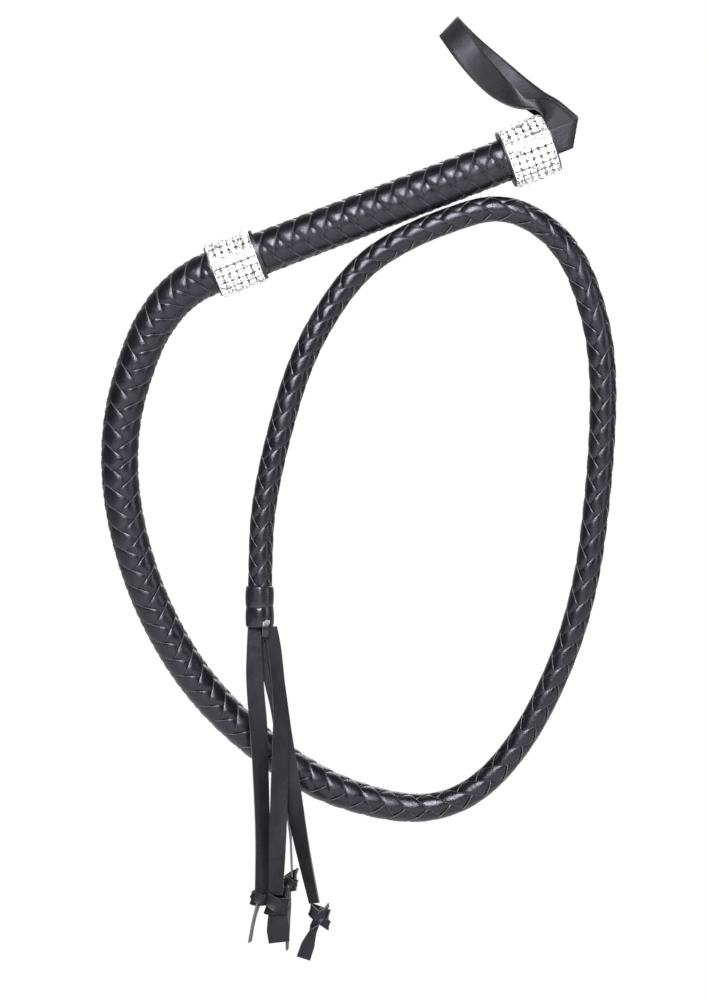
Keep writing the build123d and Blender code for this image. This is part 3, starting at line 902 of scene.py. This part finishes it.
face_on = (1.0, 0.0, 0.0)
edge_on = (0.0, 1.0, 0.0)
tassel_strip(
    "middle",
    strip=(
        [
            (-0.1215, -0.0146, -0.2915), (-0.1195, -0.0146, -0.300), (-0.1178, -0.0146, -0.314),
            (-0.1158, -0.0146, -0.336), (-0.1150, -0.0146, -0.356), (-0.1158, -0.0146, -0.395),
            (-0.1168, -0.0146, -0.430), (-0.1180, -0.0146, -0.464),
        ],
        [
            (1, 0.1, 0), (1, 0.3, 0), (1, 0.4, 0), (1, 0.3, 0), (1, 0.2, 0), (1, 0.1, 0),
            (1, -0.2, 0), (1, -0.3, 0),
        ],
        [0.0085, 0.0088, 0.0092, 0.0104, 0.0112, 0.0112, 0.0108, 0.0096],
    ),
    knot=((-0.1172, -0.0146, -0.4690), 0.0068, 0.0036, 0.0022, 0.0105),
    loose_end=(
        [
            (-0.1172, -0.0150, -0.470), (-0.1170, -0.0158, -0.477), (-0.1166, -0.0160, -0.485),
            (-0.1160, -0.0150, -0.4945),
        ],
        [(1, 0, 0.1), (1, 0.1, 0.1), (1, 0.15, -0.1), (1, 0.2, -0.25)],
        [0.0090, 0.0125, 0.0150, 0.0135],
    ),
)
tassel_strip(
    "left",
    strip=(
        [
            (-0.1320, -0.0116, -0.2915), (-0.1321, -0.0118, -0.306), (-0.1316, -0.0122, -0.330),
            (-0.1290, -0.0116, -0.358), (-0.1275, -0.0112, -0.400), (-0.1264, -0.0112, -0.430),
            (-0.1268, -0.0116, -0.4635),
        ],
        [face_on, (1, 0.1, 0), (1, 0.15, 0), (1, 0.5, 0), (1, 0.6, 0), (1, 0.6, 0), (1, 0.4, 0)],
        [0.0085, 0.0112, 0.0116, 0.0115, 0.0110, 0.0108, 0.0105],
    ),
    knot=((-0.1277, -0.0116, -0.4655), 0.0058, 0.0032, 0.0010, 0.0080),
    loose_end=(
        [
            (-0.1286, -0.0136, -0.467), (-0.1310, -0.0140, -0.4745), (-0.1333, -0.0138, -0.484),
            (-0.1350, -0.0132, -0.4945),
        ],
        [(0.4, 0.9, 0.1), (0.2, 0.97, 0), (0.15, 0.97, 0), (0.2, 0.97, 0)],
        [0.0060, 0.0072, 0.0076, 0.0070],
    ),
)
tassel_strip(
    "right",
    strip=(
        [
            (-0.1235, -0.0086, -0.2915), (-0.1212, -0.0086, -0.306), (-0.1176, -0.0086, -0.323),
            (-0.1139, -0.0086, -0.3555), (-0.1095, -0.0086, -0.385), (-0.1022, -0.0090, -0.430),
            (-0.0930, -0.0098, -0.470),
        ],
        [face_on, (1, 0.2, 0), (1, 0.25, 0), (1, 0.1, 0), (1, -0.3, 0), (1, -0.8, 0), (1, -1.1, 0)],
        [0.0080, 0.0095, 0.0105, 0.0112, 0.0115, 0.0112, 0.0100],
    ),
    knot=((-0.0898, -0.0100, -0.4775), 0.0058, 0.0034, -0.0038, 0.0072),
    loose_end=(
        [
            (-0.0905, -0.0114, -0.479), (-0.0930, -0.0124, -0.4855), (-0.0966, -0.0120, -0.494),
            (-0.1003, -0.0112, -0.5055),
        ],
        [(1, 0, -0.2), (1, 0.2, -0.2), (1, 0.1, -0.3), (1, 0, -0.35)],
        [0.0042, 0.0048, 0.0088, 0.0092],
    ),
)
tassel_strip(
    "slim",
    strip=(
        [
            (-0.1275, -0.0056, -0.2915), (-0.1258, -0.0056, -0.306), (-0.1205, -0.0056, -0.326),
            (-0.1150, -0.0056, -0.348), (-0.1122, -0.0054, -0.378), (-0.1102, -0.0046, -0.404),
            (-0.1087, -0.0022, -0.430), (-0.1080, -0.0008, -0.4535),
        ],
        [face_on, face_on, face_on, (1, 0.1, 0), (1, 0.3, 0), (0.4, 1, 0), edge_on, edge_on],
        [0.0080, 0.0108, 0.0112, 0.0112, 0.0106, 0.0098, 0.0088, 0.0078],
    ),
    knot=((-0.1088, -0.0004, -0.4575), 0.0036, 0.0034, 0.0014, 0.0085),
    loose_end=(
        [
            (-0.1092, -0.0010, -0.459), (-0.1100, -0.0014, -0.470), (-0.1108, -0.0010, -0.484),
            (-0.1112, -0.0004, -0.5015),
        ],
        [edge_on, (0.3, 1, 0), (0.25, 1, 0), (0.1, 1, 0)],
        [0.0060, 0.0072, 0.0076, 0.0070],
    ),
)

# ---- Floor and light -----------------------------------------------------------------------
# A white paper floor well below the whip, a white surround that the glossy leather sees only
# dimly in front and brightly behind, and three soft boxes.
floor_paper, floor_tree, floor_main = shader("floor_paper", (0.9, 0.9, 0.9), 0.95)
floor_main.inputs["Specular IOR Level"].default_value = 0.0
paper_glow = node(floor_tree, "ShaderNodeEmission")
paper_path = node(floor_tree, "ShaderNodeLightPath")
paper_mix = node(floor_tree, "ShaderNodeMixShader")
floor_tree.links.new(paper_path.outputs["Is Camera Ray"], paper_mix.inputs[0])
floor_tree.links.new(floor_main.outputs[0], paper_mix.inputs[1])
floor_tree.links.new(paper_glow.outputs[0], paper_mix.inputs[2])
floor_tree.links.new(paper_mix.outputs[0], floor_tree.nodes["Material Output"].inputs[0])
floor_height, floor_reach = -0.62, 40
floor_corners = [
    (x * floor_reach, y * floor_reach, floor_height) for x, y in ((-1, -1), (1, -1), (1, 1), (-1, 1))
]
floor_mesh = bpy.data.meshes.new("floor")
floor_mesh.from_pydata(floor_corners, [], [(0, 1, 2, 3)])
floor_mesh.materials.append(floor_paper)
floor = bpy.data.objects.new("floor", floor_mesh)
bpy.context.scene.collection.objects.link(floor)


def soft_box(name, place, target, size, watts):
    """A square area light at a place, turned to face a target."""
    light = bpy.data.lights.new(name, "AREA")
    light.shape = "RECTANGLE"
    light.size, light.size_y = size
    light.energy = watts
    lamp = bpy.data.objects.new(name, light)
    away = np.array(place) - np.array(target)
    across = math.hypot(away[0], away[1])
    lamp.location = place
    lamp.rotation_euler = (math.atan2(across, away[2]), 0, math.atan2(away[0], -away[1]))
    bpy.context.scene.collection.objects.link(lamp)


whip_middle = (-0.07, 0, -0.2)
soft_box("key_light", (-0.28, -1.8, 0.8), whip_middle, size=(0.75, 1.2), watts=95)
soft_box("side_light", (1.5, -0.7, 0.2), whip_middle, size=(0.4, 1.2), watts=8)
soft_box("back_light", (0.5, 1.8, 1.1), whip_middle, size=(1.6, 1.2), watts=26)
world = bpy.data.worlds.new("white_surround")
world.use_nodes = True
sky = world.node_tree
seen = sky.nodes["Background"]
seen.inputs[0].default_value = (1, 1, 1, 1)
cast = node(sky, "ShaderNodeBackground")
cast.inputs[0].default_value = (1, 1, 1, 1)
sky_way = node(sky, "ShaderNodeTexCoord")
sky_split = node(sky, "ShaderNodeSeparateXYZ")
sky.links.new(sky_way.outputs["Generated"], sky_split.inputs[0])
sky_range = node(sky, "ShaderNodeMapRange", in_1=0.1, in_2=0.95, in_3=0.07, in_4=0.8)
sky.links.new(sky_split.outputs[1], sky_range.inputs[0])
sky.links.new(sky_range.outputs[0], cast.inputs[1])
sky_path = node(sky, "ShaderNodeLightPath")
sky_mix = node(sky, "ShaderNodeMixShader")
sky.links.new(sky_path.outputs["Is Camera Ray"], sky_mix.inputs[0])
sky.links.new(cast.outputs[0], sky_mix.inputs[1])
sky.links.new(seen.outputs[0], sky_mix.inputs[2])
sky.links.new(sky_mix.outputs[0], sky.nodes["World Output"].inputs[0])
bpy.context.scene.world = world
bpy.context.scene.view_settings.view_transform = "Standard"
